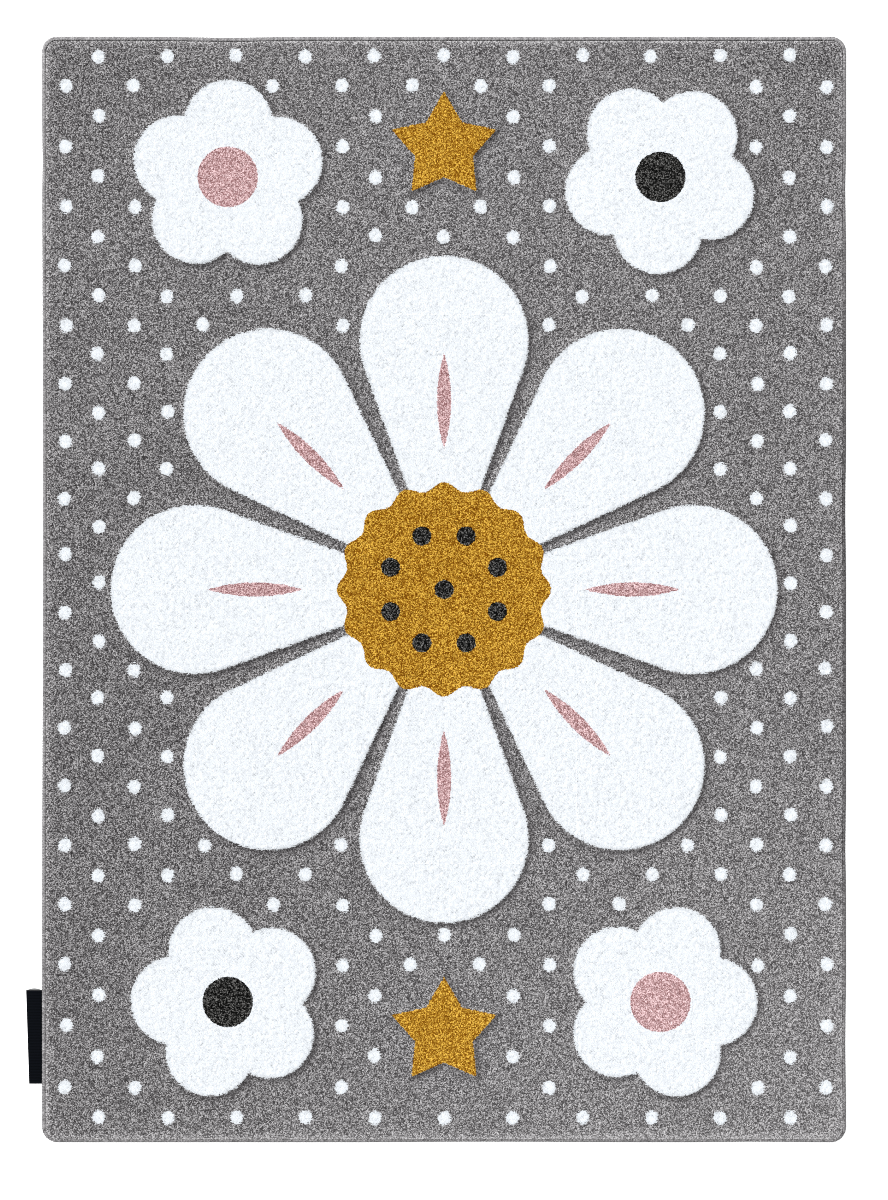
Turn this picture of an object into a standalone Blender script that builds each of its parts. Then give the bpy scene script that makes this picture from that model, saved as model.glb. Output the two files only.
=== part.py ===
"""Kids rug, 160 x 220 cm, lying flat with its pile up.

The woven rug is one flat solid whose ground cloth runs out into a thin tongue all round. An
overlocked yarn edge grips that tongue, and a folded ribbon label lies against the left edge.

Frame: metres, +Z up, +Y towards the rug's top edge. The origin is the centre of the underside.
"""

import math

import bmesh
import bpy
from mathutils import Vector

MM = 0.001

# Overall size, measured over the edge binding.
RUG_WIDTH = 1.600
RUG_LENGTH = 2.200
CORNER_RADIUS = 0.030
CORNER_STEPS = 8
EDGE_STEP = 0.055

# Heights above the floor.
TONGUE_UNDERSIDE = 1.3 * MM
TONGUE_TOP = 3.8 * MM
PILE_TOP = 11.5 * MM

# Distances inwards from the outer edge.
TONGUE_EDGE = 3.6 * MM
PILE_EDGE = 8.8 * MM
PILE_SHOULDER = 3.2 * MM
SHOULDER_STEPS = 4

# Edge binding, a rounded C in section.
GAP = 0.3 * MM
BINDING_WIDTH = PILE_EDGE - GAP
BINDING_HEIGHT = 8.0 * MM
BINDING_SIDE = 3.8 * MM
LOWER_ROUND = 2.4 * MM
LOWER_ROUND_STEPS = 3
UPPER_LIP = 1.2 * MM
CROWN_STEPS = 8

# Folded label, lying on the floor against the left edge.
LABEL_TOP_Y = -0.798
LABEL_BOTTOM_Y = -0.984
LABEL_REACH_TOP = 32 * MM
LABEL_REACH_BOTTOM = 26 * MM
LABEL_LAYER = 1.0 * MM
LABEL_SPACE = 0.4 * MM
LABEL_FOLD_STEPS = 6
LABEL_STEPS = 12
LABEL_BULGE = 4 * MM
LABEL_BULGE_RUN = 0.25

# Where the sewn edge runs in from a straight line: a smooth dip about `centre`, along the side.
EDGE_DIPS = [
    dict(side="left", centre=0.15, reach=0.85, depth=2.0 * MM),
    dict(side="left", centre=0.86, reach=0.07, depth=1.2 * MM),
    dict(side="top", centre=-0.43, reach=0.16, depth=2.2 * MM),
    dict(side="top", centre=0.21, reach=0.10, depth=1.2 * MM),
    dict(side="right", centre=0.79, reach=0.09, depth=1.8 * MM),
    dict(side="right", centre=0.16, reach=0.12, depth=1.6 * MM),
    dict(side="right", centre=-0.51, reach=0.09, depth=1.4 * MM),
    dict(side="right", centre=-0.90, reach=0.12, depth=1.6 * MM),
    dict(side="bottom", centre=0.10, reach=0.30, depth=1.0 * MM),
    dict(side="bottom", centre=0.62, reach=0.14, depth=1.0 * MM),
]

# Colours are linear values.
MATERIALS = {
    "pile_grey": dict(color=(0.19, 0.175, 0.175), roughness=0.95, metallic=0.0),
    "edge_yarn": dict(color=(0.26, 0.25, 0.255), roughness=0.9, metallic=0.0),
    "label_black": dict(color=(0.008, 0.009, 0.012), roughness=0.55, metallic=0.0),
}


def clear_scene():
    for item in list(bpy.data.objects):
        bpy.data.objects.remove(item, do_unlink=True)


def make_material(name):
    look = MATERIALS[name]
    material = bpy.data.materials.new(name)
    material.use_nodes = True
    shader = material.node_tree.nodes["Principled BSDF"]
    shader.inputs["Base Color"].default_value = (*look["color"], 1.0)
    shader.inputs["Roughness"].default_value = look["roughness"]
    shader.inputs["Metallic"].default_value = look["metallic"]
    return material


def add_object(name, mesh_data, material_name):
    """Makes one closed object from a bmesh, with its faces pointing out."""
    bmesh.ops.recalc_face_normals(mesh_data, faces=mesh_data.faces)
    mesh = bpy.data.meshes.new(name)
    mesh_data.to_mesh(mesh)
    mesh_data.free()
    mesh.materials.append(make_material(material_name))
    piece = bpy.data.objects.new(name, mesh)
    bpy.context.scene.collection.objects.link(piece)
    return piece


def edge_dip(side, along):
    """How far the sewn edge runs in at a place along one side."""
    total = 0.0
    for dip in EDGE_DIPS:
        distance = abs(along - dip["centre"]) / dip["reach"]
        if dip["side"] == side and distance < 1.0:
            total += dip["depth"] * (0.5 + 0.5 * math.cos(math.pi * distance))
    return total


def side_points(side, start, direction, length, inward):
    """Points along one straight side as (place, inward direction), dips included."""
    count = round(length / EDGE_STEP)
    points = []
    for i in range(1, count):
        place = start + direction * (length * i / count)
        along = place.dot(Vector((1, 0))) if side in ("top", "bottom") else place.y
        points.append((place + inward * edge_dip(side, along), inward))
    return points


def corner_points(centre, start_angle):
    """Points round one corner, anticlockwise, as (place, inward direction)."""
    points = []
    for i in range(CORNER_STEPS + 1):
        angle = start_angle + math.pi / 2 * i / CORNER_STEPS
        outward = Vector((math.cos(angle), math.sin(angle)))
        points.append((centre + outward * CORNER_RADIUS, -outward))
    return points


def edge_path():
    """The rug's outer edge, anticlockwise from the right side, as (place, inward direction)."""
    half_x, half_y = RUG_WIDTH / 2, RUG_LENGTH / 2
    run_x, run_y = RUG_WIDTH - 2 * CORNER_RADIUS, RUG_LENGTH - 2 * CORNER_RADIUS
    in_x, in_y = half_x - CORNER_RADIUS, half_y - CORNER_RADIUS
    left, right = Vector((-1, 0)), Vector((1, 0))
    down, up = Vector((0, -1)), Vector((0, 1))
    path = side_points("right", Vector((half_x, -in_y)), up, run_y, left)
    path += corner_points(Vector((in_x, in_y)), 0.0)
    path += side_points("top", Vector((in_x, half_y)), left, run_x, down)
    path += corner_points(Vector((-in_x, in_y)), math.pi / 2)
    path += side_points("left", Vector((-half_x, in_y)), down, run_y, right)
    path += corner_points(Vector((-in_x, -in_y)), math.pi)
    path += side_points("bottom", Vector((-in_x, -half_y)), right, run_x, up)
    path += corner_points(Vector((in_x, -in_y)), 3 * math.pi / 2)
    return path


def sweep_rings(mesh_data, profile, path):
    """Rings of vertices, one for each (inset, height) of the profile, along the edge path."""
    rings = []
    for inset, height in profile:
        ring = []
        for place, inward in path:
            spot = place + inward * inset
            ring.append(mesh_data.verts.new((spot.x, spot.y, height)))
        rings.append(ring)
    return rings


def join_rings(mesh_data, rings, closed):
    """Quads between neighbouring rings. A closed profile also joins its last ring to its first."""
    pairs = list(zip(rings, rings[1:]))
    if closed:
        pairs.append((rings[-1], rings[0]))
    for lower, upper in pairs:
        for i in range(len(lower)):
            j = (i + 1) % len(lower)
            mesh_data.faces.new((lower[i], lower[j], upper[j], upper[i]))


def rug_profile():
    """The cloth's edge from its underside to its top, as (inset, height)."""
    profile = [
        (PILE_EDGE, 0.0),
        (PILE_EDGE, TONGUE_UNDERSIDE),
        (TONGUE_EDGE, TONGUE_UNDERSIDE),
        (TONGUE_EDGE, TONGUE_TOP),
        (PILE_EDGE, TONGUE_TOP),
    ]
    for i in range(SHOULDER_STEPS + 1):
        angle = math.pi / 2 * i / SHOULDER_STEPS
        inset = PILE_EDGE + PILE_SHOULDER * (1 - math.cos(angle))
        height = PILE_TOP - PILE_SHOULDER * (1 - math.sin(angle))
        profile.append((inset, height))
    return profile


def make_rug(path):
    mesh_data = bmesh.new()
    rings = sweep_rings(mesh_data, rug_profile(), path)
    join_rings(mesh_data, rings, closed=False)
    mesh_data.faces.new(reversed(rings[0]))
    mesh_data.faces.new(rings[-1])
    return add_object("rug", mesh_data, "pile_grey")


def binding_profile():
    """The binding's C-shaped section, once round, as (inset, height).

    It runs out along the floor, up the outer side, over the crown to the lip and back in
    round the slot that holds the tongue.
    """
    slot_floor, slot_top = TONGUE_UNDERSIDE - GAP, TONGUE_TOP + GAP
    profile = [(BINDING_WIDTH, slot_floor), (BINDING_WIDTH, 0.0)]
    for i in range(LOWER_ROUND_STEPS + 1):
        angle = math.pi / 2 * i / LOWER_ROUND_STEPS
        inset = LOWER_ROUND * (1 - math.sin(angle))
        profile.append((inset, LOWER_ROUND * (1 - math.cos(angle))))
    for i in range(CROWN_STEPS + 1):
        angle = math.pi * i / CROWN_STEPS
        foot = BINDING_SIDE if angle < math.pi / 2 else slot_top + UPPER_LIP
        inset = BINDING_WIDTH / 2 * (1 - math.cos(angle))
        profile.append((inset, foot + (BINDING_HEIGHT - foot) * math.sin(angle)))
    slot_end = TONGUE_EDGE - GAP
    profile += [(BINDING_WIDTH, slot_top), (slot_end, slot_top), (slot_end, slot_floor)]
    return profile


def make_binding(path):
    mesh_data = bmesh.new()
    rings = sweep_rings(mesh_data, binding_profile(), path)
    join_rings(mesh_data, rings, closed=True)
    return add_object("edge_binding", mesh_data, "edge_yarn")


def binding_clearance(height):
    """How far in from the outer edge the binding's lower round lies at a height."""
    if height >= LOWER_ROUND:
        return 0.0
    rise = 1 - height / LOWER_ROUND
    return LOWER_ROUND * (1 - math.sqrt(1 - rise * rise))


def label_section(reach):
    """The folded label's two faces at one place, as (distance out from the rug, height).

    Each runs out along the upper layer, round the fold and back in along the lower layer. The
    first is the outer face and the second is the one between the layers.
    """
    middle = LABEL_LAYER + LABEL_SPACE / 2
    fold = reach - middle
    lower_end = GAP - binding_clearance(LABEL_LAYER)
    faces = []
    for radius in (middle, LABEL_SPACE / 2):
        face = [(GAP, middle + radius)]
        for i in range(LABEL_FOLD_STEPS + 1):
            angle = math.pi / 2 - math.pi * i / LABEL_FOLD_STEPS
            face.append((fold + radius * math.cos(angle), middle + radius * math.sin(angle)))
        face.append((lower_end, middle - radius))
        faces.append(face)
    return faces


def label_place(t, reach, out, height):
    """A point of the label, t from 0 at its lower end to 1 at its upper end.

    The lower layer's upper end bulges out past the upper layer's.
    """
    y = LABEL_BOTTOM_Y + (LABEL_TOP_Y - LABEL_BOTTOM_Y) * t
    edge = -RUG_WIDTH / 2 + edge_dip("left", y)
    if height < LABEL_LAYER + LABEL_SPACE / 2:
        near_end = max(0.0, 1 - (1 - t) / LABEL_BULGE_RUN)
        across = min(max(out / reach, 0.0), 1.0)
        y += LABEL_BULGE * near_end * math.sin(math.pi * across)
    return Vector((edge - out, y, height))


def make_label():
    """Two grids of vertices, the outer face and the face between the layers, joined all round."""
    mesh_data = bmesh.new()
    grids = [[], []]
    for i in range(LABEL_STEPS + 1):
        t = i / LABEL_STEPS
        reach = LABEL_REACH_BOTTOM + (LABEL_REACH_TOP - LABEL_REACH_BOTTOM) * t
        for grid, face in zip(grids, label_section(reach)):
            grid.append([mesh_data.verts.new(label_place(t, reach, *spot)) for spot in face])
    outer, inner = grids
    last = len(outer[0]) - 1
    for grid in grids:
        join_strips(mesh_data, grid)
    for i in (0, last):
        join_strips(mesh_data, [[row[i] for row in outer], [row[i] for row in inner]])
    for end in (0, LABEL_STEPS):
        join_strips(mesh_data, [outer[end], inner[end]])
    return add_object("label", mesh_data, "label_black")


def join_strips(mesh_data, rows):
    """Quads between neighbouring rows of vertices."""
    for near, far in zip(rows, rows[1:]):
        for i in range(len(near) - 1):
            mesh_data.faces.new((near[i], near[i + 1], far[i + 1], far[i]))


def main():
    clear_scene()
    path = edge_path()
    make_rug(path)
    make_binding(path)
    make_label()


main()
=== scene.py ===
"""Kids rug: carved cut pile, overlocked edge, bare label and woven back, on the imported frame.

Everything is in metres, +Z up, +Y towards the rug's top edge, with the floor at z = 0. The
pile is real relief: each vertex of its grid is a tuft's tip or the gap beside it. Distances
to the motifs are kept on the vertices, and the shader picks each tuft's yarn from them.
"""

import math

import bpy
import numpy as np
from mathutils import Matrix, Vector


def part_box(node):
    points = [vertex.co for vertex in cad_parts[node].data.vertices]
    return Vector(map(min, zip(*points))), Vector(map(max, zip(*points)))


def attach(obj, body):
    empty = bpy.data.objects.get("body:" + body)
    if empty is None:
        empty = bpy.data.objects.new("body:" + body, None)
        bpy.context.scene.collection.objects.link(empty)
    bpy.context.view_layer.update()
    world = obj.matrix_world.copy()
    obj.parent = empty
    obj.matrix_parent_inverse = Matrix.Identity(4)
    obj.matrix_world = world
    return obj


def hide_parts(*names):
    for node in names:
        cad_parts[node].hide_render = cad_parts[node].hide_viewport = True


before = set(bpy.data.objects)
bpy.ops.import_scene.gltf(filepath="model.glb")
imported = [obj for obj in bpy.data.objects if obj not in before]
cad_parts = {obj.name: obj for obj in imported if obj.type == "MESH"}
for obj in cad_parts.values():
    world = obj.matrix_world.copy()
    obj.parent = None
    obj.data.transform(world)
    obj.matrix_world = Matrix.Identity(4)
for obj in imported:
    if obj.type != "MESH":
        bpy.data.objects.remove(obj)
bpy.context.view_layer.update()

MM = 0.001
TURN = 2 * math.pi

# Cloth and binding in section, as in the CAD solids: heights, and distances in from the edge.
TONGUE_UNDERSIDE, TONGUE_TOP = 1.3 * MM, 3.8 * MM
TONGUE_INSET, PILE_INSET = 3.6 * MM, 8.8 * MM
CORNER_RADIUS = 30 * MM
BINDING_WIDTH, BINDING_HEIGHT = 8.5 * MM, 8.0 * MM
BINDING_SIDE, UPPER_LIP = 3.8 * MM, 1.2 * MM
LOWER_ROUND = 2.4 * MM
GAP = 0.3 * MM

# Reading the CAD's outlines: how far off a level or a straight side a vertex may be, how many
# decimals of a metre tell two apart, and from where on one outline isn't another.
LEVEL_SLACK, SIDE_SLACK = 0.05 * MM, 0.1 * MM
DECIMALS = 5
OUTLINES_APART = 1 * MM

# Pile: a grid of tips and gaps, cut into tiles that stay under the triangle limit. Every tip
# stands TIP_RISE over the gaps and leans with the nap.
TUFT_PITCH = 3.1 * MM
TIP_RISE = 1.3 * MM
TIP_SPREAD = 0.35 * MM
SIDE_SPREAD = 0.7 * MM
NAP_LEAN = (0.3 * MM, -0.6 * MM)
PILE_FOOT = TONGUE_TOP + 0.1 * MM
SWELL = 0.25 * MM
TILE_ROWS, TILE_COLUMNS = 4, 3
PILE_SEED = 7

# The pile's rim is rounded off. It flares out over the binding, the sides not quite up to the
# top corners, and leans down the rug. It also gets painted light, most of all at the short ends.
SHOULDER_WIDTH, SHOULDER_DROP = 6.0 * MM, 1.6 * MM
EDGE_LEAN, EDGE_FLARE = -1.2 * MM, 1.0 * MM
FLARE_END = 60 * MM
EDGE_FADE = 6.0 * MM
EDGE_AT_ENDS = 1.4

# The cut along the motifs: its depth, how far outside their outlines it is deepest, and how
# wide it is on either side of that. CARVE_OPENS is the way that its deep side faces, and the
# other side is raised a little instead.
CARVE_DEPTH = 2.4 * MM
CARVE_CENTRE = 4.0 * MM
CARVE_INSIDE, CARVE_OUTSIDE = 3.5 * MM, 8.0 * MM
CARVE_OPENS = (0.7, -0.7)
CARVE_LEAST, CARVE_POWER = -0.2, 1.5
CARVE_STEP = 1 * MM

# Painted light and shade on the pile and on the edge yarn, and how they change over the rug.
PILE_LIGHT_RIGHT, PILE_LIGHT_ENDS, PILE_LIGHT_TOP = 0.35, 0.7, 0.6
EDGE_LIGHT_TOP, EDGE_LIGHT_LEFT = 0.5, 0.15

# Overlocked yarn: wraps that slant along the edge on their way round it, each a little off its
# even place.
WRAP_PITCH = 3.0 * MM
WRAP_DEPTH = 0.7 * MM
WRAP_SLANT = 5.0 * MM
WRAP_SPREAD = 0.2 * MM
WRAP_SLIP = WRAP_PITCH * 0.15
# The wraps' inner side, in from this inset, takes the painted shade of the groove at the top end.
GROOVE_SHADE_INSET = 7.2 * MM
LOWER_STEPS, CROWN_STEPS = 3, 7
BINDING_SEED = 11

# Bake maps: the binding's map has this many strips, and each pile tile's flat base is squeezed
# to a narrow strip beside its top.
MAP_STRIPS = 16
BASE_STRIP, BASE_PLACE = 0.02, 1.03

# Folded ribbon label: its lower and upper ends, and how far out the fold lies there.
LABEL_ENDS_Y = (-0.984, -0.798)
LABEL_REACH = (26 * MM, 32 * MM)
RIBBON = 0.5 * MM
LABEL_LAYERS_Z = (0.35 * MM, 1.6 * MM)
LABEL_WAVE = 0.4 * MM
LABEL_BULGE, LABEL_BULGE_SHARE = 3.6 * MM, 0.25
LABEL_STEPS, FLAT_STEPS, FOLD_STEPS = 60, 16, 8

# Small dots: their half sizes, and rows of one repeat, every other row shifted by about half
# of it. The rows drift along the rug in one slow wave.
DOT_WIDE, DOT_TALL = 12.9 * MM, 13.8 * MM
DOT_PITCH, DOT_SHIFT, DOT_ROW = 137.5 * MM, 72 * MM, 58.8 * MM
DOT_ROWS, DOTS_EACH_WAY = 37, 6
DOT_RISE, DOT_DRIFT = 8.6 * MM, 12.9 * MM
DOT_DRIFT_TURN, DOT_DRIFT_START = 2.75, -0.26
DOT_WAVER = 2 * MM
DOT_MARGIN = 22 * MM
DOT_EDGE_MARGIN = 16 * MM

# Flowers. A petal runs from `start` to `start + length` from the flower's middle, with round
# ends of radius `base` and `tip`, and `heart` is the radius of the round middle.
SMALL = dict(petals=5, start=0.05, length=0.055, base=0.05, tip=0.088)
FLOWERS = [
    dict(x=0.0, y=0.0, petals=8, turn=0.0, start=0.22, length=0.275,
         base=0.075, tip=0.168, heart=0.205, yarn="mustard"),
    dict(x=-0.43, y=0.82, turn=0.3, heart=0.060, yarn="pink", **SMALL),
    dict(x=0.43, y=0.82, turn=0.9, heart=0.050, yarn="charcoal", **SMALL),
    dict(x=-0.43, y=-0.82, turn=0.6, heart=0.050, yarn="charcoal", **SMALL),
    dict(x=0.43, y=-0.82, turn=0.0, heart=0.060, yarn="pink", **SMALL),
]
SCALLOPS, SCALLOP_WAVE = 16, 8 * MM
VEIN = dict(middle=0.375, half_length=0.095, half_width=0.014)
SEEDS = dict(count=8, ring=0.115, radius=0.019)
STARS = [dict(x=0.0, y=0.88, radius=0.11), dict(x=0.0, y=-0.88, radius=0.11)]
STAR_POINTS, STAR_NOTCH = 5, 0.55

# Yarns: the display colours, from 0 to 255, of each one's darkest and lightest tufts, and how
# rare the light ones are. A number below 0 keeps a channel out of the darker tones altogether.
# Later yarns lie over earlier ones.
YARNS = {
    "grey": ((46, 44, 45), (191, 189, 190), 1.4),
    "white": ((210, 214, 218), (230, 234, 239), 0.9),
    "mustard": ((96, 52, -140), (240, 194, 84), 1.4),
    "pink": ((122, 82, 83), (242, 211, 213), 1.2),
    "charcoal": ((-8, -8, -9), (124, 123, 121), 2.5),
}
DISPLAY_GAMMA = 2.2
TUFT_CELL = 1.7 * MM
PILE_FIBRE, YARN_FIBRE = 0.9 * MM, 1.2 * MM

# Rows of tufts and streaks run along x, this much drawn out, and patches are wide and even.
ROW_SIZE, PATCH_SIZE = 2.6 * MM, 220 * MM
ROW_DRAWN, STREAK_DRAWN = (0.2, 1, 1), (0.05, 1, 1)

# How far a yarn's area is jittered, by tuft and by row, and how much of that the inlays take.
TUFT_JITTER, ROW_JITTER = 1.7 * MM, 7.0 * MM
INLAY_JITTER = 0.45

# Tone runs from 0, a yarn's dark colour, to 1, its light one. First the pile's: the share of a
# tuft's own chance and of its fibres, the factors for painted shade in the gaps, for painted light
# on the cut's lip and painted shade in its floor, for streaks and for wide patches, and what
# painted shade on white's rim, painted light on the pile's rim and painted light and shade over
# the rug add.
TUFT_SHARE, FIBRE_SHARE = 0.85, 0.15
GAP_TONE = 0.92
CUT_TONES = (1.15, 0.5)
STREAK_TONES, PATCH_TONES = (0.95, 1.05), (0.97, 1.03)
RIM_WIDTH, RIM_TONE = 7 * MM, -0.7
EDGE_TONE, PILE_LIGHT_TONE = 0.13, 0.085

# Then the edge yarn's: the shares of its strand, specks and fibres, the factor for painted shade
# in the furrows, what painted light and shade along the edge and painted shade in the groove at
# the top end add, and the factor of painted shade down the outer side, up to the first of two
# heights, gone at the second.
STRAND_SHARE, SPECK_SHARE, FIBRE_SHARES = 0.25, 0.45, (0.1, 0.4)
FURROW_TONE = 0.8
EDGE_LIGHT_TONE, GROOVE_SHADE_TONE = 0.25, -0.3
SIDE_TONE, SIDE_HEIGHTS = 0.25, (4.5 * MM, 7.2 * MM)

# Surface colours of the underside's warp and weft, and of the label's face and reverse.
WARP, WEFT = (0.16, 0.13, 0.10), (0.52, 0.45, 0.36)
RIBBON_DARK, RIBBON_LIGHT = (0.0012, 0.0018, 0.003), (0.004, 0.005, 0.008)
REVERSE_DARK, REVERSE_LIGHT = (0.10, 0.10, 0.10), (0.30, 0.30, 0.30)

# Camera, straight above. The long side of the 888 x 1200 picture spans VIEW_LENGTH.
LENS, SENSOR = 90, 36
VIEW_LENGTH = 2.385
VIEW_CENTRE_Y = -0.0212
FAR = 100

# Studio: a soft sun from the upper left, a pale sky, and a floor that glows a little.
SUN = dict(direction=(0.7, -0.45, -0.75), strength=3.6, spread=20)
SKY_COLOUR, SKY_STRENGTH = (0.98, 0.99, 1.0, 1.0), 0.62
FLOOR_SIDE, FLOOR_COLOUR, FLOOR_GLOW = 60, (0.8, 0.8, 0.8), 0.65
PIXEL_FILTER = 1.0


# ---------------------------------------------------------------- outlines from the frame


def cad_ring(node, height):
    """A CAD node's vertices at one height, as an anticlockwise (n, 2) array."""
    spots = np.array([v.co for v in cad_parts[node].data.vertices])
    ring = spots[np.abs(spots[:, 2] - height) < LEVEL_SLACK, :2]
    ring = np.unique(np.round(ring, DECIMALS), axis=0)
    return ring[np.argsort(np.arctan2(ring[:, 1], ring[:, 0]))]


def loop_length(loop):
    """How long a closed loop is."""
    return np.hypot(*(np.roll(loop, -1, axis=0) - loop).T).sum()


def along_loop(loop, run):
    """Points of a closed loop at the given distances along it."""
    closed = np.vstack([loop, loop[:1]])
    marks = np.concatenate([[0], np.cumsum(np.hypot(*np.diff(closed, axis=0).T))])
    run = np.mod(run, marks[-1])
    return np.stack([np.interp(run, marks, closed[:, k]) for k in (0, 1)], axis=-1)


def inward(loop, run, reach=4 * MM):
    """Unit vectors that point into an anticlockwise loop."""
    ahead = along_loop(loop, run + reach) - along_loop(loop, run - reach)
    normal = np.stack([-ahead[..., 1], ahead[..., 0]], axis=-1)
    return normal / np.linalg.norm(normal, axis=-1, keepdims=True)


def side_shift(ring, corner, axis, across, along):
    """How far places move so that a grid's sides follow the ring's uneven sides."""
    half, other = np.abs(ring[:, axis]).max(), np.abs(ring[:, 1 - axis]).max()
    straight = np.abs(ring[:, 1 - axis]) < other - corner + SIDE_SLACK
    shift = np.zeros_like(across)
    for sign in (-1, 1):
        side = ring[straight & (sign * ring[:, axis] > half - corner / 2)]
        side = side[np.argsort(side[:, 1 - axis])]
        dip = np.interp(along, side[:, 1 - axis], side[:, axis]) - sign * half
        shift += np.where(sign * across > 0, dip * (across / half) ** 2, 0)
    return shift


def rug_grid(columns, rows, ring, corner):
    """Even places inside a ring with round corners, as grids.

    They are x, y and the distances from the nearer long side and the nearer short side.
    """
    half_x, half_y = np.abs(ring).max(axis=0)
    u, v = np.meshgrid(np.linspace(-half_x, half_x, columns), np.linspace(-half_y, half_y, rows))
    a = np.clip((np.abs(u) - half_x + corner) / corner, 0, 1)
    b = np.clip((np.abs(v) - half_y + corner) / corner, 0, 1)
    x = u - np.sign(u) * corner * a * (1 - np.sqrt(1 - b**2 / 2))
    y = v - np.sign(v) * corner * b * (1 - np.sqrt(1 - a**2 / 2))
    shift_x = side_shift(ring, corner, 0, x, y)
    shift_y = side_shift(ring, corner, 1, y, x)
    return x + shift_x, y + shift_y, half_x - np.abs(u), half_y - np.abs(v)


def shares(x, y):
    """Places as shares of the rug's half width and half length, from -1 to 1."""
    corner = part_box("rug")[1]
    return x / corner.x, y / corner.y


def near_end(share):
    """1 at the end of the rug that a share of 1 stands for, and soon 0 away from it."""
    return np.maximum(share, 0) ** 6


# ---------------------------------------------------------------- meshes


def mesh_object(name, vertices, faces, places=None):
    """A smooth mesh from arrays.

    faces is a list of (m, k) arrays of vertex numbers, and places holds an (m, k, 2) array of
    bake map places for each of them.
    """
    mesh = bpy.data.meshes.new(name)
    corners = np.concatenate([group.ravel() for group in faces])
    sizes = np.concatenate([np.full(len(group), group.shape[1]) for group in faces])
    mesh.vertices.add(len(vertices))
    mesh.vertices.foreach_set("co", np.asarray(vertices, np.float32).ravel())
    mesh.loops.add(len(corners))
    mesh.loops.foreach_set("vertex_index", corners.astype(np.int32))
    mesh.polygons.add(len(sizes))
    starts = np.cumsum(sizes) - sizes
    mesh.polygons.foreach_set("loop_start", starts.astype(np.int32))
    mesh.update(calc_edges=True)
    mesh.shade_smooth()
    if places is not None:
        spots = np.concatenate([group.reshape(-1, 2) for group in places])
        spots = (spots - spots.min(axis=0)) / np.ptp(spots, axis=0)
        layer = mesh.uv_layers.new(name="OFBake")
        layer.data.foreach_set("uv", spots.astype(np.float32).ravel())
    piece = bpy.data.objects.new(name, mesh)
    bpy.context.scene.collection.objects.link(piece)
    return piece


def store(piece, name, values):
    """Keeps one number for each vertex, for the shader."""
    layer = piece.data.attributes.new(name, "FLOAT", "POINT")
    layer.data.foreach_set("value", np.asarray(values, np.float32).ravel())


def numbered(*shape):
    """A grid of vertex numbers."""
    return np.arange(math.prod(shape)).reshape(shape)


def border_of(index):
    """The vertex numbers round a grid, anticlockwise from its first."""
    return np.concatenate([index[0, :-1], index[:-1, -1], index[-1, :0:-1], index[:0:-1, 0]])


def grid_quads(index):
    """A grid's quads as an (m, 4) array."""
    corners = index[:-1, :-1], index[:-1, 1:], index[1:, 1:], index[1:, :-1]
    return np.stack(corners, axis=-1).reshape(-1, 4)


def loop_quads(upper, lower):
    """Quads between two closed loops of vertex numbers, seen from outside."""
    return np.stack([upper, lower, np.roll(lower, -1), np.roll(upper, -1)], axis=-1)


def finish_piece(piece, material):
    """Gives a piece its material and its body."""
    piece.data.materials.append(material)
    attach(piece, "root")
    return piece


# ---------------------------------------------------------------- the woven design


def taper(along, across, start, length, base, tip):
    """Signed distance to a tapered bar with round ends, negative inside."""
    lean = (base - tip) / length
    rise = math.sqrt(1 - lean * lean)
    u, v = np.abs(across), along - start
    part = rise * v - lean * u
    side = rise * u + lean * v - base
    near, far = np.hypot(u, v) - base, np.hypot(u, v - length) - tip
    return np.where(part < 0, near, np.where(part > rise * length, far, side))


def leaf(along, across, middle, half_length, half_width):
    """Signed distance to a slim leaf, the space that two wide circles share."""
    radius = (half_length**2 + half_width**2) / (2 * half_width)
    return np.hypot(along - middle, np.abs(across) + radius - half_width) - radius


def spokes(x, y, count, turn):
    """Distance along and across the nearest of `count` even spokes."""
    angle, step = np.arctan2(y, x) - turn, TURN / count
    angle = angle - np.round(angle / step) * step
    radius = np.hypot(x, y)
    return radius * np.cos(angle), radius * np.sin(angle)


def petals(x, y, flower):
    """Signed distance to a flower's petals."""
    along, across = spokes(x - flower["x"], y - flower["y"], flower["petals"], flower["turn"])
    return taper(along, across, flower["start"], flower["length"], flower["base"], flower["tip"])


def heart(x, y, flower):
    """Signed distance to a flower's middle, which is scalloped where it is mustard."""
    u, v = x - flower["x"], y - flower["y"]
    wave = SCALLOP_WAVE if flower["yarn"] == "mustard" else 0.0
    return np.hypot(u, v) - flower["heart"] - wave * np.cos(SCALLOPS * np.arctan2(v, u))


def star(x, y, place):
    """Signed distance to a plump five-pointed star with a point up."""
    along, across = spokes(x - place["x"], y - place["y"], STAR_POINTS, TURN / 4)
    turn = TURN / STAR_POINTS / 2
    notch = STAR_NOTCH * place["radius"] * np.array([math.cos(turn), math.sin(turn)])
    side = notch - (place["radius"], 0.0)
    length = np.hypot(*side)
    side /= length
    u, v = along - place["radius"], np.abs(across)
    part = np.clip(u * side[0] + v * side[1], 0, length)
    return np.copysign(np.hypot(u - part * side[0], v - part * side[1]), u * side[1] - v * side[0])


def nearest(shapes):
    """Signed distance to the nearest of several shapes."""
    return np.minimum.reduce(shapes)


def motif_distance(x, y):
    """Signed distance to everything that the small dots keep clear of."""
    flowers = [part(x, y, flower) for flower in FLOWERS for part in (petals, heart)]
    return nearest(flowers + [star(x, y, place) for place in STARS])


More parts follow.
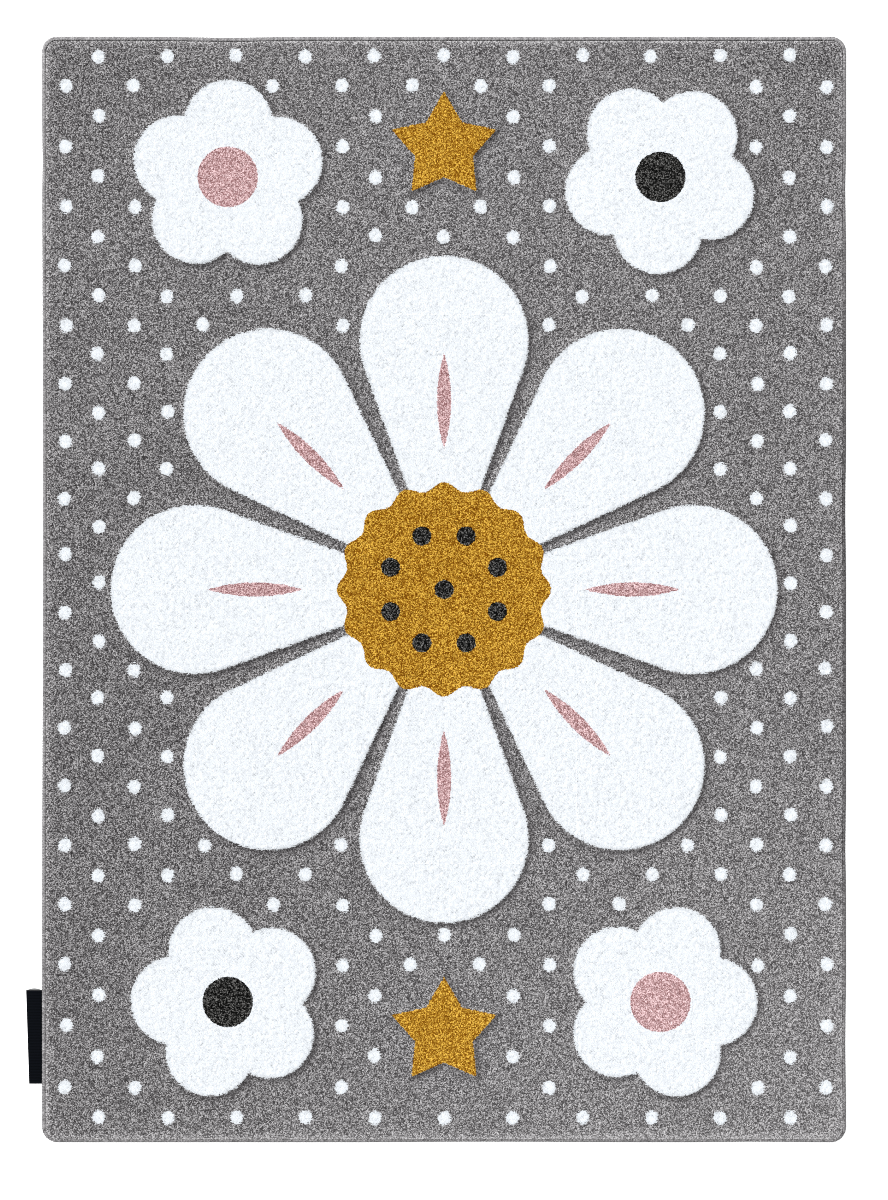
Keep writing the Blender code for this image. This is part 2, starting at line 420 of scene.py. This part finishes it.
def dot_places(chance):
    """Centres of the small dots, a little off their even rows, clear of motifs and edges."""
    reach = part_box("rug")[1].x - DOT_EDGE_MARGIN - DOT_WIDE
    spots = []
    for row in range(DOT_ROWS):
        y = (DOT_ROWS // 2 - row) * DOT_ROW
        y += DOT_RISE - DOT_DRIFT * math.sin(DOT_DRIFT_TURN * y + DOT_DRIFT_START)
        shift = DOT_SHIFT * (row % 2)
        spots += [(k * DOT_PITCH + shift, y) for k in range(-DOTS_EACH_WAY, DOTS_EACH_WAY + 1)]
    spots = np.array(spots)
    spots = spots[np.abs(spots[:, 0]) < reach]
    spots += chance.uniform(-DOT_WAVER, DOT_WAVER, spots.shape)
    return spots[motif_distance(*spots.T) > DOT_MARGIN]


def dots(x, y, chance):
    """Signed distance to the nearest small dot, up to half a row away."""
    found = np.full(x.shape, DOT_ROW / 2)
    for spot in dot_places(chance):
        near = (np.abs(x - spot[0]) < DOT_ROW / 2) & (np.abs(y - spot[1]) < DOT_ROW / 2)
        wide, tall = (x[near] - spot[0]) / DOT_WIDE, (y[near] - spot[1]) / DOT_TALL
        away = (np.hypot(wide, tall) - 1) * (DOT_WIDE + DOT_TALL) / 2
        found[near] = np.minimum(found[near], away)
    return found


def yarn_areas(x, y, chance):
    """Signed distance to each yarn's own areas."""
    big = FLOWERS[0]
    vein = leaf(*spokes(x, y, big["petals"], big["turn"]), **VEIN)
    along, across = spokes(x, y, SEEDS["count"], TURN / SEEDS["count"] / 2)
    seeds = np.minimum(np.hypot(along - SEEDS["ring"], across), np.hypot(x, y)) - SEEDS["radius"]
    hearts = {yarn: [] for yarn in YARNS}
    for flower in FLOWERS:
        hearts[flower["yarn"]].append(heart(x, y, flower))
    return {
        "white": nearest([petals(x, y, flower) for flower in FLOWERS] + [dots(x, y, chance)]),
        "mustard": nearest(hearts["mustard"] + [star(x, y, place) for place in STARS]),
        "pink": nearest(hearts["pink"] + [vein]),
        "charcoal": nearest(hearts["charcoal"] + [seeds]),
    }


def carved(shape, x, y):
    """Depth of the cut along a shape's outline, from CARVE_LEAST, a slight lip, to 1.

    It lies on the outer side, and it is deepest where the outline faces CARVE_OPENS.
    """
    distance = shape(x, y)
    ahead = shape(x + CARVE_STEP * CARVE_OPENS[0], y + CARVE_STEP * CARVE_OPENS[1])
    facing = np.clip((1 + (ahead - distance) / CARVE_STEP) / 2, 0, 1)
    away = distance - CARVE_CENTRE
    cut = np.exp(-((away / np.where(away < 0, CARVE_INSIDE, CARVE_OUTSIDE)) ** 2))
    return cut * (CARVE_LEAST + (1 - CARVE_LEAST) * facing**CARVE_POWER)


# ---------------------------------------------------------------- pile


def swell(x, y):
    """Slow rise and fall of the pile's surface, from -1 to 1, with waves that never line up."""
    return (np.sin(7.3 * x + 2.1 * np.sin(3.1 * y)) + np.sin(9.1 * y + 1.7 * np.sin(4.3 * x))) / 2


def painted_pile_light(x, y):
    """Painted light and shade on the pile from place to place, from about -0.9 to 1.4.

    It is lightest at the lower right, and light towards both short ends, but not right at the
    top or in its corners.
    """
    u, v = shares(x, y)
    light = PILE_LIGHT_RIGHT * u * (1 - v) + PILE_LIGHT_ENDS * v**2
    return light - PILE_LIGHT_TOP * near_end(v) - (u * np.maximum(v, 0)) ** 4


def pile_grid():
    """Even places for the pile's vertices, as rug_grid gives them, with whole tiles."""
    ring = cad_ring("rug", 0.0)
    columns, rows = (
        tiles * round(size / TUFT_PITCH / tiles) + 1
        for size, tiles in zip(np.ptp(ring, axis=0), (TILE_COLUMNS, TILE_ROWS))
    )
    return rug_grid(columns, rows, ring, CORNER_RADIUS - PILE_INSET)


def flares(x, y, from_side, from_end):
    """How far the pile's rim is pushed out over the binding, along x and along y."""
    flare_x = EDGE_FLARE * np.sign(x) * np.clip(1 - from_side / SHOULDER_WIDTH, 0, 1)
    flare_x *= np.clip((y.max() - y) / FLARE_END, 0, 1)
    flare_y = EDGE_FLARE * np.sign(y) * np.clip(1 - from_end / SHOULDER_WIDTH, 0, 1)
    return flare_x, flare_y


def pile_surface():
    """The whole pile as grids: tops, feet and the values that the shader reads."""
    chance = np.random.default_rng(PILE_SEED)
    x, y, from_side, from_end = pile_grid()
    inset = np.minimum(from_side, from_end)
    foot = np.stack([x, y], axis=-1)
    tip = np.add.outer(*(np.arange(size) for size in x.shape)) % 2
    loose = SIDE_SPREAD * (inset > TUFT_PITCH / 2)
    x = x + loose * chance.uniform(-1, 1, x.shape)
    y = y + loose * chance.uniform(-1, 1, x.shape)
    groove = carved(motif_distance, x, y)
    edge = np.clip(1 - inset / SHOULDER_WIDTH, 0, 1)
    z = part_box("rug")[1].z - TIP_RISE * (1 - tip) + SWELL * swell(x, y)
    z += TIP_SPREAD * chance.normal(0, 1, x.shape)
    z -= CARVE_DEPTH * groove + SHOULDER_DROP * edge**2
    values = dict(yarn_areas(x, y, chance), tip=tip, groove=groove)
    # Painted light on the pile's rounded rim, most of all at the short ends.
    at_ends = 1 + EDGE_AT_ENDS * (y / y.max()) ** 4
    values["edge"] = np.exp(-np.maximum(inset, 0) / EDGE_FADE) * at_ends
    # painted light and shade over the pile, lightest at the lower right
    values["painted_pile_light"] = painted_pile_light(x, y)
    flare_x, flare_y = flares(x, y, from_side, from_end)
    x = x + NAP_LEAN[0] * tip + flare_x
    y = y + NAP_LEAN[1] * tip + flare_y + EDGE_LEAN * edge
    return np.stack([x, y, z], axis=-1), foot, values


def tile_map(rows, columns, wall):
    """Bake map places of a tile's top, an even grid, and of its feet, folded out round it."""
    u, v = np.meshgrid(np.arange(columns) * TUFT_PITCH, np.arange(rows) * TUFT_PITCH)
    top = np.stack([u, v], axis=-1).reshape(-1, 2)
    rim = top[border_of(numbered(rows, columns))]
    return top, rim + wall * ((rim == rim.max(axis=0)) * 1.0 - (rim == 0))


def tile_faces(index, tip, foot):
    """A tile's faces: four round each tuft, then the walls, then the base."""
    a, b, c, d = index[:-1, :-1], index[:-1, 1:], index[1:, 1:], index[1:, :-1]
    tip = tip[:-1, :-1] > 0
    return [
        np.stack([a, b, d], axis=-1)[tip],
        np.stack([b, c, d], axis=-1)[tip],
        np.stack([a, b, c], axis=-1)[~tip],
        np.stack([a, c, d], axis=-1)[~tip],
        loop_quads(border_of(index), foot),
        foot[::-1].reshape(1, -1),
    ]


def sharpen(piece, loops):
    """Marks the edges along closed loops of vertices as sharp."""
    size = len(piece.data.vertices)
    pairs = np.concatenate([np.stack([loop, np.roll(loop, -1)], axis=-1) for loop in loops])
    ends = np.empty(2 * len(piece.data.edges), np.int32)
    piece.data.edges.foreach_get("vertices", ends)
    ends, pairs = (np.sort(both.reshape(-1, 2), axis=1) @ (size, 1) for both in (ends, pairs))
    layer = piece.data.attributes.new("sharp_edge", "BOOLEAN", "EDGE")
    layer.data.foreach_set("value", np.isin(ends, pairs))


def make_tile(name, top, foot, values):
    """One closed tile of pile: its surface, walls down to the cloth and a flat base."""
    index = numbered(*top.shape[:2])
    border = border_of(index)
    low = index.size + np.arange(len(border))
    faces = tile_faces(index, values["tip"], low)
    spots, rim = tile_map(*index.shape, top[..., 2].max() - PILE_FOOT)
    places = [np.vstack([spots, rim])[group] for group in faces[:-1]]
    base = rim * (BASE_STRIP, 1) + (BASE_PLACE * np.ptp(rim[:, 0]), 0)
    places.append(base[::-1].reshape(1, -1, 2))
    feet = np.column_stack([foot.reshape(-1, 2)[border], np.full(len(border), PILE_FOOT)])
    tile = mesh_object(name, np.vstack([top.reshape(-1, 3), feet]), faces, places)
    for key, grid in values.items():
        store(tile, key, np.concatenate([grid.ravel(), grid.ravel()[border]]))
    sharpen(tile, [border, low])
    return tile


def make_pile(material):
    """The whole pile, as a list of tiles."""
    top, foot, values = pile_surface()
    tall, wide = (top.shape[0] - 1) // TILE_ROWS, (top.shape[1] - 1) // TILE_COLUMNS
    tiles = []
    for i in range(TILE_ROWS):
        for j in range(TILE_COLUMNS):
            cut = np.s_[i * tall:(i + 1) * tall + 1, j * wide:(j + 1) * wide + 1]
            part = {key: grid[cut] for key, grid in values.items()}
            tile = make_tile(f"pile_{i + 1}_{j + 1}", top[cut], foot[cut], part)
            tiles.append(finish_piece(tile, material))
    return tiles


# ---------------------------------------------------------------- ground cloth


def make_cloth(material):
    """The woven cloth under the pile, a slab whose edge is the tongue that the binding grips."""
    inner = cad_ring("rug", 0.0)
    level = cad_ring("rug", TONGUE_TOP)
    away = np.linalg.norm(level[:, None] - inner[None], axis=-1).min(axis=1)
    outer = level[away > OUTLINES_APART]
    steps = [(inner, 0.0), (inner, TONGUE_UNDERSIDE), (outer, TONGUE_UNDERSIDE), (outer, TONGUE_TOP)]
    vertices = [np.column_stack([ring, np.full(len(ring), height)]) for ring, height in steps]
    index = numbered(len(steps), len(inner))
    faces = [index[0][::-1].reshape(1, -1), index[-1].reshape(1, -1)]
    faces += [loop_quads(above, below) for below, above in zip(index, index[1:])]
    cloth = mesh_object("rug_cloth", np.vstack(vertices), faces)
    sharpen(cloth, list(index))
    return finish_piece(cloth, material)


# ---------------------------------------------------------------- overlocked edge


def binding_section():
    """The binding's section, once round, as rows of (inset, height), and its share of relief."""
    slot_floor, slot_top = TONGUE_UNDERSIDE - GAP, TONGUE_TOP + GAP
    section, relief = [(BINDING_WIDTH, 0.0)], [0.0]
    for i in range(LOWER_STEPS + 1):
        angle = TURN / 4 * i / LOWER_STEPS
        section.append((LOWER_ROUND * (1 - math.sin(angle)), LOWER_ROUND * (1 - math.cos(angle))))
        relief.append(i / LOWER_STEPS)
    for i in range(CROWN_STEPS + 1):
        angle = TURN / 2 * i / CROWN_STEPS
        foot = BINDING_SIDE if angle < TURN / 4 else slot_top + UPPER_LIP
        inset = BINDING_WIDTH / 2 * (1 - math.cos(angle))
        section.append((inset, foot + (BINDING_HEIGHT - foot) * math.sin(angle)))
        relief.append(1.0)
    slot_end = TONGUE_INSET - GAP
    section += [(BINDING_WIDTH, slot_top), (slot_end, slot_top)]
    section += [(slot_end, slot_floor), (BINDING_WIDTH, slot_floor)]
    return np.array(section), np.array(relief + [0.0] * 4)


def outward_of(section):
    """Unit vectors out of a closed section."""
    ahead = np.roll(section, -1, axis=0) - np.roll(section, 1, axis=0)
    normal = np.column_stack([-ahead[:, 1], ahead[:, 0]])
    return normal / np.linalg.norm(normal, axis=1, keepdims=True)


def painted_edge_light(x, y):
    """Painted light and shade on the edge yarn from place to place, from -1 to about 0.65.

    It is lighter at the top and a little at the left, and darker along the right.
    """
    u, v = shares(x, y)
    light = EDGE_LIGHT_TOP * near_end(v) + EDGE_LIGHT_LEFT * near_end(-u)
    return light - near_end(u) * np.maximum(1 - v**2, 0) ** 2


def strip_places(stations, points):
    """Bake map places of a long closed tube, cut into strips that lie side by side."""
    run = stations // MAP_STRIPS
    k, j = np.meshgrid(np.arange(stations), np.arange(points), indexing="ij")
    u = np.stack([k, k + 1, k + 1, k], axis=-1) - (k // run * run)[..., None]
    v = np.stack([j, j, j + 1, j + 1], axis=-1) + (k // run * (points + 1))[..., None]
    return np.stack([u / run, v / (points + 1) / MAP_STRIPS], axis=-1).reshape(-1, 4, 2)


def make_binding(material):
    """Yarn wrapped slantwise round the rug's edge, a ridge and a furrow for each wrap."""
    chance = np.random.default_rng(BINDING_SEED)
    loop = cad_ring("edge_binding", BINDING_SIDE)
    length = loop_length(loop)
    wraps = round(length / WRAP_PITCH / MAP_STRIPS) * MAP_STRIPS
    section, relief = binding_section()
    normal = outward_of(section)
    stations, points = 2 * wraps, len(section)
    ridge = np.arange(stations) % 2
    strand = np.repeat(chance.uniform(0, 1, wraps), 2)
    slip = WRAP_SLIP * np.repeat(chance.uniform(-1, 1, wraps), 2)
    slant = WRAP_SLANT * (relief * np.linspace(0, 1, points))
    run = length * np.arange(stations)[:, None] / stations + slant + slip[:, None] * relief
    rise = WRAP_DEPTH * (ridge - 0.5) + WRAP_SPREAD * (strand - 0.5) * 2
    rise = rise[:, None] * relief
    spots = along_loop(loop, run)
    spots += inward(loop, run) * (section[:, 0] + normal[:, 0] * rise)[..., None]
    heights = np.maximum(section[:, 1] + normal[:, 1] * rise, 0)
    vertices = np.concatenate([spots, heights[..., None]], axis=-1).reshape(-1, 3)
    index = numbered(stations, points)
    closed = np.pad(index, ((0, 1), (0, 1)), mode="wrap")
    faces = [grid_quads(closed)[:, [0, 3, 2, 1]]]
    places = [strip_places(stations, points)]
    binding = mesh_object("edge_wraps", vertices, faces, places)
    store(binding, "strand", np.broadcast_to(strand[:, None], index.shape))
    store(binding, "ridge", np.broadcast_to(ridge[:, None], index.shape))
    # painted light and shade along the edge yarn
    store(binding, "painted_edge_light", painted_edge_light(spots[..., 0], spots[..., 1]))
    # Painted shade in the groove between the binding and the pile, on the wraps' inner side at the top
    # end.
    top = near_end(shares(spots[..., 0], spots[..., 1])[1])
    store(binding, "seam", (section[:, 0] > GROOVE_SHADE_INSET) * top)
    return finish_piece(binding, material)


# ---------------------------------------------------------------- label


def shell(name, grid, thickness):
    """A closed sheet of one thickness about an (m, n, 3) grid of middle points."""
    across = np.cross(np.gradient(grid, axis=0), np.gradient(grid, axis=1))
    across *= thickness / 2 / np.linalg.norm(across, axis=-1, keepdims=True)
    index = numbered(*grid.shape[:2])
    border, count = border_of(index), index.size
    vertices = np.concatenate([grid + across, grid - across]).reshape(-1, 3)
    faces = [grid_quads(index)[:, ::-1], grid_quads(index + count)]
    faces.append(loop_quads(border + count, border))
    piece = mesh_object(name, vertices, faces)
    store(piece, "reverse", np.repeat([0, 1], count))
    sharpen(piece, [border, border + count])
    return piece


def make_label(material):
    """A ribbon that runs out as the upper layer, round the fold and back underneath.

    Its lower layer bulges a little past the straight upper end, so that its reverse shows.
    """
    low, high = LABEL_LAYERS_Z
    radius = (high - low) / 2
    flat, still = np.linspace(0, 1, FLAT_STEPS), np.zeros(FLAT_STEPS)
    out = np.concatenate([flat, np.ones(FOLD_STEPS), flat[::-1]])
    turn = np.concatenate([still, np.linspace(0, math.pi, FOLD_STEPS + 2)[1:-1], still + math.pi])
    t = np.linspace(0, 1, LABEL_STEPS)[:, None]
    reach = np.interp(t, (0, 1), LABEL_REACH)
    x = GAP + (reach - GAP - radius - RIBBON / 2) * out + radius * np.sin(turn)
    arch = np.sin(math.pi * out)
    bulge = np.clip(1 - (1 - t) / LABEL_BULGE_SHARE, 0, 1) * arch * (turn > math.pi / 2)
    y = np.interp(t, (0, 1), LABEL_ENDS_Y) + LABEL_BULGE * bulge
    wave = 0.5 + 0.5 * np.sin(11 * t + 2) * np.cos(5 * t)  # uneven, as slack ribbon lies
    z = low + radius * (1 + np.cos(turn)) + LABEL_WAVE * wave * arch * (turn < math.pi / 2)
    label = shell("label_ribbon", np.stack([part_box("edge_binding")[0].x - x, y, z], axis=-1), RIBBON)
    return finish_piece(label, material)


# ---------------------------------------------------------------- materials


class Shader:
    """One material and its nodes. Inputs are numbers, colours, vectors or other outputs."""

    def __init__(self, name):
        self.material = bpy.data.materials.new(name)
        self.material.use_nodes = True
        self.tree = self.material.node_tree
        self.surface = self.tree.nodes["Principled BSDF"]

    def put(self, socket, value):
        """Links a socket to an output, or sets it."""
        if isinstance(value, bpy.types.NodeSocket):
            self.tree.links.new(value, socket)
        elif isinstance(value, tuple) and len(socket.default_value) == 4:
            socket.default_value = (*value, 1.0)
        else:
            socket.default_value = value

    def node(self, kind, inputs, output=0, **settings):
        """Adds a node and returns one of its outputs."""
        made = self.tree.nodes.new("ShaderNode" + kind)
        for key, value in settings.items():
            setattr(made, key, value)
        for key, value in inputs.items():
            self.put(made.inputs[key], value)
        return made.outputs[output]

    def math(self, operation, a, b=0.0, c=0.0):
        return self.node("Math", {0: a, 1: b, 2: c}, operation=operation)

    def times(self, value, factor):
        return self.math("MULTIPLY", value, factor)

    def plus(self, value, extra, share):
        """The value and a share of something extra."""
        return self.math("MULTIPLY_ADD", extra, share, value)

    def mix(self, factor, a, b):
        return self.node("Mix", {0: factor, 6: a, 7: b}, output=2, data_type="RGBA")

    def remap(self, value, low, high, to_low=0.0, to_high=1.0):
        inputs = dict(zip(range(5), (value, low, high, to_low, to_high)))
        return self.node("MapRange", inputs)

    def spread(self, noise, to_low, to_high):
        """Noise over its usual range, 0.3 to 0.7, as another range."""
        return self.remap(noise, 0.3, 0.7, to_low, to_high)

    def display(self, colour):
        """A surface colour from a display colour, which is 0 to 255."""
        if isinstance(colour, tuple):
            return tuple((part / 255) ** DISPLAY_GAMMA for part in colour)
        scaled = self.node("VectorMath", {0: colour, 3: 1 / 255}, operation="SCALE")
        kept = self.node("VectorMath", {0: scaled, 1: (0, 0, 0)}, operation="MAXIMUM")
        return self.node("Gamma", {"Color": kept, "Gamma": DISPLAY_GAMMA})

    def place(self):
        return self.node("TexCoord", {}, output="Object")

    def scaled(self, place, factors):
        return self.node("VectorMath", {0: place, 1: factors}, operation="MULTIPLY")

    def noise(self, place, size, detail=2.0):
        inputs = {"Vector": place, "Scale": 1 / size, "Detail": detail}
        return self.node("TexNoise", inputs)

    def cells(self, place, output, dimensions):
        """Cells of a tuft's size: their colours, or the distance from their middles."""
        inputs = {"Vector": place, "Scale": 1 / TUFT_CELL}
        return self.node("TexVoronoi", inputs, output=output, voronoi_dimensions=dimensions)

    def bands(self, place, size, axis, **inputs):
        """Soft bands across an axis. They repeat every TURN * size, since the node turns by 20."""
        inputs = {key.replace("_", " "): value for key, value in inputs.items()}
        inputs.update({"Vector": place, "Scale": 1 / size / 20})
        return self.node("TexWave", inputs, wave_type="BANDS", bands_direction=axis)

    def value(self, name):
        return self.node("Attribute", {}, output="Fac", attribute_name=name)

    def bump(self, height, distance, strength=1.0):
        inputs = {"Height": height, "Distance": distance, "Strength": strength}
        return self.node("Bump", inputs)

    def finish(self, **looks):
        """Sets the surface's sockets, named with spaces for underscores."""
        for key, value in looks.items():
            self.put(self.surface.inputs[key.replace("_", " ")], value)
        return self.material


def pick_yarn(s, jitter):
    """A tuft's dark and light colours, how rare light is, and how near white's rim it lies, for
    painted shade there.
    """
    dark, light, power = YARNS["grey"]
    for yarn in list(YARNS)[1:]:
        share = 1.0 if yarn == "white" else INLAY_JITTER
        inside = s.math("LESS_THAN", s.plus(s.value(yarn), jitter, share), 0.0)
        if yarn == "white":
            rim = s.times(inside, s.remap(s.value(yarn), -RIM_WIDTH, 0.0))
        else:
            rim = s.times(rim, s.math("SUBTRACT", 1.0, inside))
        dark = s.mix(inside, dark, YARNS[yarn][0])
        light = s.mix(inside, light, YARNS[yarn][1])
        power = s.remap(inside, 0, 1, power, YARNS[yarn][2])
    return dark, light, power, rim


def pile_tone(s, place, fibre, tone, rim):
    """A tuft's tone from its own chance and its fibres, with painted shade in the gaps, in the cut and
    on white's rim, painted light on the cut's lip and the pile's rim, and painted light and shade over
    the rug.
    """
    streak = s.noise(s.scaled(place, STREAK_DRAWN), ROW_SIZE, 1.0)
    patch = s.noise(place, PATCH_SIZE, 1.0)
    tone = s.math("ADD", s.times(tone, TUFT_SHARE), s.spread(fibre, 0.0, FIBRE_SHARE))
    # Painted shade in the gaps between tufts.
    tone = s.times(tone, s.remap(s.value("tip"), 0, 1, GAP_TONE, 1.0))
    # Painted light on the cut's lip and painted shade in its floor.
    tone = s.times(tone, s.remap(s.value("groove"), CARVE_LEAST, 1, *CUT_TONES))
    # Painted shade on white's rounded rim.
    tone = s.plus(tone, rim, RIM_TONE)
    tone = s.times(tone, s.spread(streak, *STREAK_TONES))
    tone = s.times(tone, s.spread(patch, *PATCH_TONES))
    # Painted light on the pile's rim.
    tone = s.plus(tone, s.value("edge"), EDGE_TONE)
    # painted light and shade that change slowly over the pile
    return s.plus(tone, s.value("painted_pile_light"), PILE_LIGHT_TONE)


def pile_material():
    """Tufts of mixed yarn: the area gives a tuft's yarn, and chance gives its tone."""
    s = Shader("pile")
    place = s.place()
    colour = s.cells(place, "Color", "2D")
    random, random_edge = (s.node("SeparateColor", {0: colour}, output=k) for k in (0, 1))
    jitter = s.times(s.math("SUBTRACT", random_edge, 0.5), 2 * TUFT_JITTER)
    row = s.noise(s.scaled(place, ROW_DRAWN), ROW_SIZE, 0.0)
    jitter = s.plus(jitter, s.math("SUBTRACT", row, 0.5), ROW_JITTER)
    dark, light, power, rim = pick_yarn(s, jitter)
    fibre = s.noise(place, PILE_FIBRE)
    chance = s.math("POWER", s.remap(random, 0.05, 0.95), power)
    tone = pile_tone(s, place, fibre, chance, rim)
    height = s.math("SUBTRACT", s.times(fibre, 0.5), s.cells(place, "Distance", "2D"))
    return s.finish(
        Base_Color=s.display(s.mix(tone, dark, light)),
        Roughness=s.remap(fibre, 0.2, 0.8, 0.8, 0.98),
        Specular_IOR_Level=0.04,
        Sheen_Weight=0.02,
        Sheen_Roughness=0.5,
        Normal=s.bump(height, 0.6 * MM, 0.6),
    )


def yarn_material():
    """Wraps of mixed grey yarn, with painted shade in the furrows, down the outer side and in the
    groove at the top end, and painted light and shade along the edge.
    """
    s = Shader("edge_yarn")
    place = s.place()
    fibre = s.noise(place, YARN_FIBRE)
    speck = s.node("SeparateColor", {0: s.cells(place, "Color", "3D")})
    tone = s.plus(s.times(speck, SPECK_SHARE), s.value("strand"), STRAND_SHARE)
    tone = s.math("ADD", tone, s.spread(fibre, *FIBRE_SHARES))
    # Painted shade in the furrows between wraps.
    tone = s.times(tone, s.remap(s.value("ridge"), 0, 1, FURROW_TONE, 1.0))
    # painted light and shade along the edge
    tone = s.plus(tone, s.value("painted_edge_light"), EDGE_LIGHT_TONE)
    # Painted shade down the outer side, darkest low down.
    height = s.node("SeparateXYZ", {0: place}, output=2)
    tone = s.times(tone, s.remap(height, *SIDE_HEIGHTS, SIDE_TONE, 1.0))
    # Painted shade in the groove at the top end.
    tone = s.plus(tone, s.value("seam"), GROOVE_SHADE_TONE)
    dark, light, _ = YARNS["grey"]
    return s.finish(
        Base_Color=s.display(s.mix(tone, dark, light)),
        Roughness=s.remap(fibre, 0.2, 0.8, 0.75, 0.95),
        Specular_IOR_Level=0.1,
        Sheen_Weight=0.05,
        Normal=s.bump(fibre, 0.3 * MM, 0.6),
    )


def backing_material():
    """A broad plain weave of pale weft over dark warp, for the underside."""
    s = Shader("backing")
    place = s.place()
    over, under = (
        s.bands(place, 4 * MM, axis, Distortion=0.6, Detail_Scale=2.0) for axis in "XY"
    )
    weave = s.times(over, under)
    return s.finish(
        Base_Color=s.mix(weave, WARP, WEFT),
        Roughness=s.remap(weave, 0, 1, 0.95, 0.8),
        Specular_IOR_Level=0.2,
        Normal=s.bump(weave, 0.8 * MM, 0.8),
    )


def ribbon_material():
    """Ribbed black ribbon with a paler reverse."""
    s = Shader("label_ribbon")
    place = s.place()
    rib = s.bands(place, 0.9 * MM, "Y", Distortion=0.2)
    grain = s.noise(place, 0.7 * MM)
    face = s.mix(s.times(rib, grain), RIBBON_DARK, RIBBON_LIGHT)
    reverse = s.mix(grain, REVERSE_DARK, REVERSE_LIGHT)
    return s.finish(
        Base_Color=s.mix(s.value("reverse"), face, reverse),
        Roughness=s.remap(grain, 0.2, 0.8, 0.5, 0.65),
        Specular_IOR_Level=0.03,
        Normal=s.bump(rib, 0.1 * MM, 0.6),
    )


# ---------------------------------------------------------------- stage, light and camera


def make_floor():
    """A wide plain floor, which isn't part of the rug."""
    mesh = bpy.data.meshes.new("floor")
    half = FLOOR_SIDE / 2
    corners = [(-half, -half, 0), (half, -half, 0), (half, half, 0), (-half, half, 0)]
    mesh.from_pydata(corners, [], [(0, 1, 2, 3)])
    floor = bpy.data.objects.new("floor", mesh)
    bpy.context.scene.collection.objects.link(floor)
    s = Shader("floor")
    mesh.materials.append(s.finish(
        Base_Color=FLOOR_COLOUR,
        Roughness=0.9,
        Specular_IOR_Level=0.0,
        Emission_Color=(1.0, 1.0, 1.0),
        Emission_Strength=FLOOR_GLOW,
    ))


def make_sun(name, direction, strength, spread):
    """A sun that shines along `direction`, with soft shadows from its spread in degrees."""
    data = bpy.data.lights.new(name, "SUN")
    data.energy = strength
    data.angle = math.radians(spread)
    sun = bpy.data.objects.new(name, data)
    sun.rotation_mode = "QUATERNION"
    sun.rotation_quaternion = Vector(direction).to_track_quat("-Z", "Y")
    bpy.context.scene.collection.objects.link(sun)


def make_light():
    """The sky and the sun, and plain tones."""
    world = bpy.data.worlds.new("studio")
    world.use_nodes = True
    background = world.node_tree.nodes["Background"]
    background.inputs["Color"].default_value = SKY_COLOUR
    background.inputs["Strength"].default_value = SKY_STRENGTH
    bpy.context.scene.world = world
    make_sun("key", **SUN)
    bpy.context.scene.view_settings.view_transform = "Standard"
    bpy.context.scene.cycles.denoising_prefilter = "NONE"
    bpy.context.scene.cycles.filter_width = PIXEL_FILTER


def make_camera():
    """The camera, straight above the rug."""
    data = bpy.data.cameras.new("camera")
    data.lens, data.sensor_width = LENS, SENSOR
    data.clip_end = FAR
    camera = bpy.data.objects.new("camera", data)
    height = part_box("rug")[1].z + VIEW_LENGTH * LENS / SENSOR
    camera.location = (0, VIEW_CENTRE_Y, height)
    bpy.context.scene.collection.objects.link(camera)
    bpy.context.scene.camera = camera


def main():
    """Makes everything, and hides the CAD nodes that the pieces stand for."""
    make_camera()
    make_light()
    make_floor()
    tiles = make_pile(pile_material())
    cloth = make_cloth(backing_material())
    binding = make_binding(yarn_material())
    label = make_label(ribbon_material())
    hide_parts("rug")
    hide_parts("edge_binding")
    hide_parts("label")


main()
